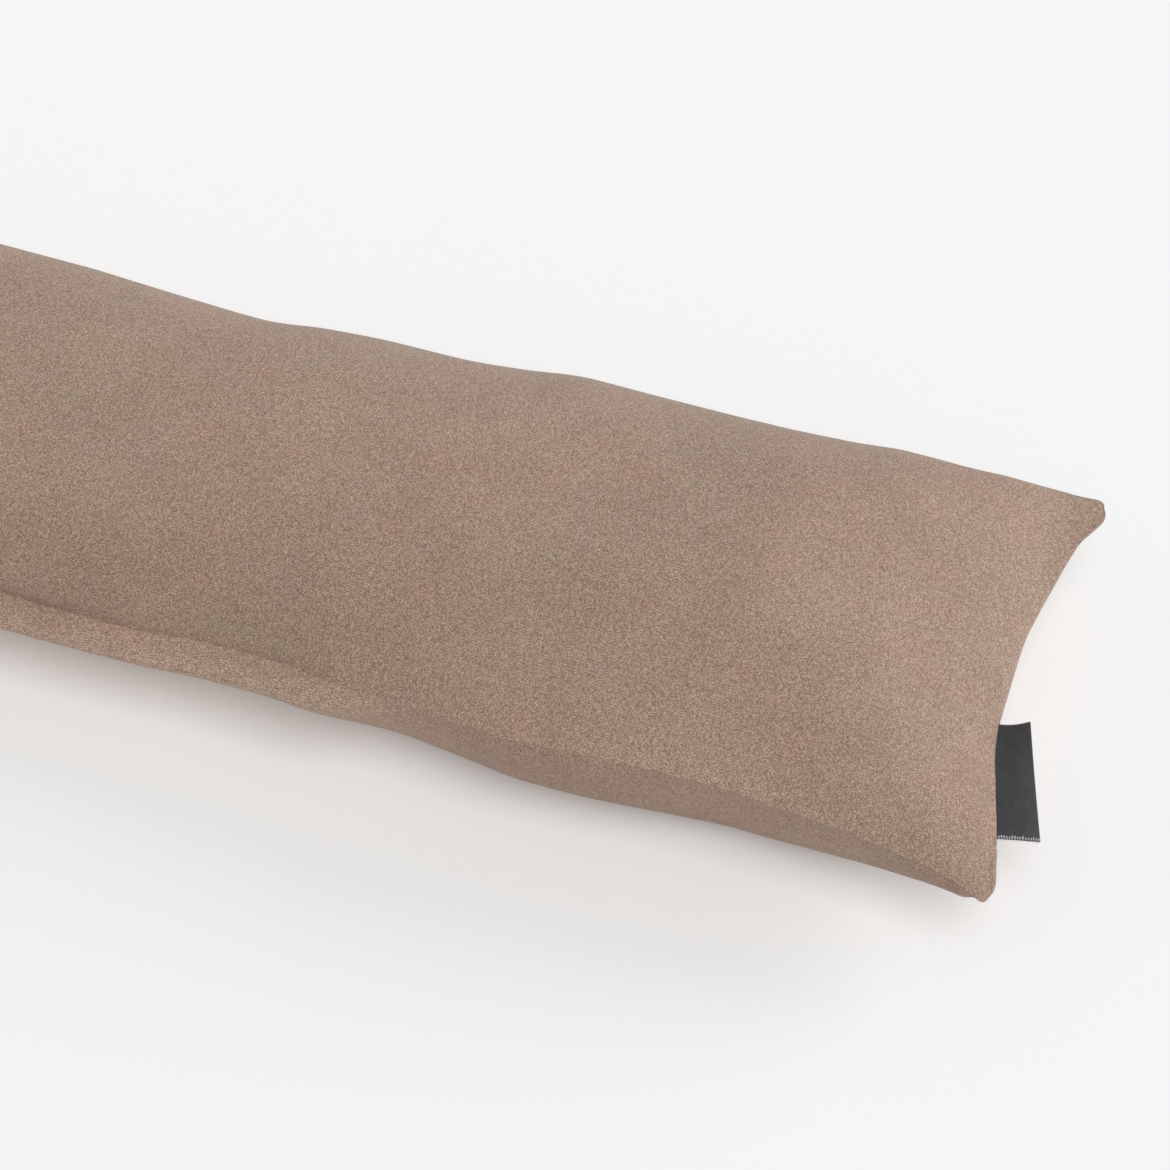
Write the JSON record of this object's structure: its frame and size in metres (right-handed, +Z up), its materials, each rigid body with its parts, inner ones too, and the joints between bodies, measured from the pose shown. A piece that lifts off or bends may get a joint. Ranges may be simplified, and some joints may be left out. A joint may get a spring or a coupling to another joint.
{
  "type": "draught excluder",
  "caption": "Long stuffed cloth draught excluder with flat sewn corners, drawn-in end seams and a small folded side tab.",
  "frame": {"origin": "middle of the flat underside, on the surface the cushion lies on", "axes": "+X along the length towards the end with the side tab, +Z up out of the surface it lies on, so the front seam is at -Y"},
  "size_m": [0.9839, 0.185, 0.0815],
  "materials": {
    "cover_cloth": "matte melange weave in taupe and brown",
    "tab_tape": "close woven charcoal tape, slight sheen"
  },
  "bodies": {
    "root": {"cushion": "cover_cloth", "side_tab": "tab_tape"}
  },
  "joints": []
}
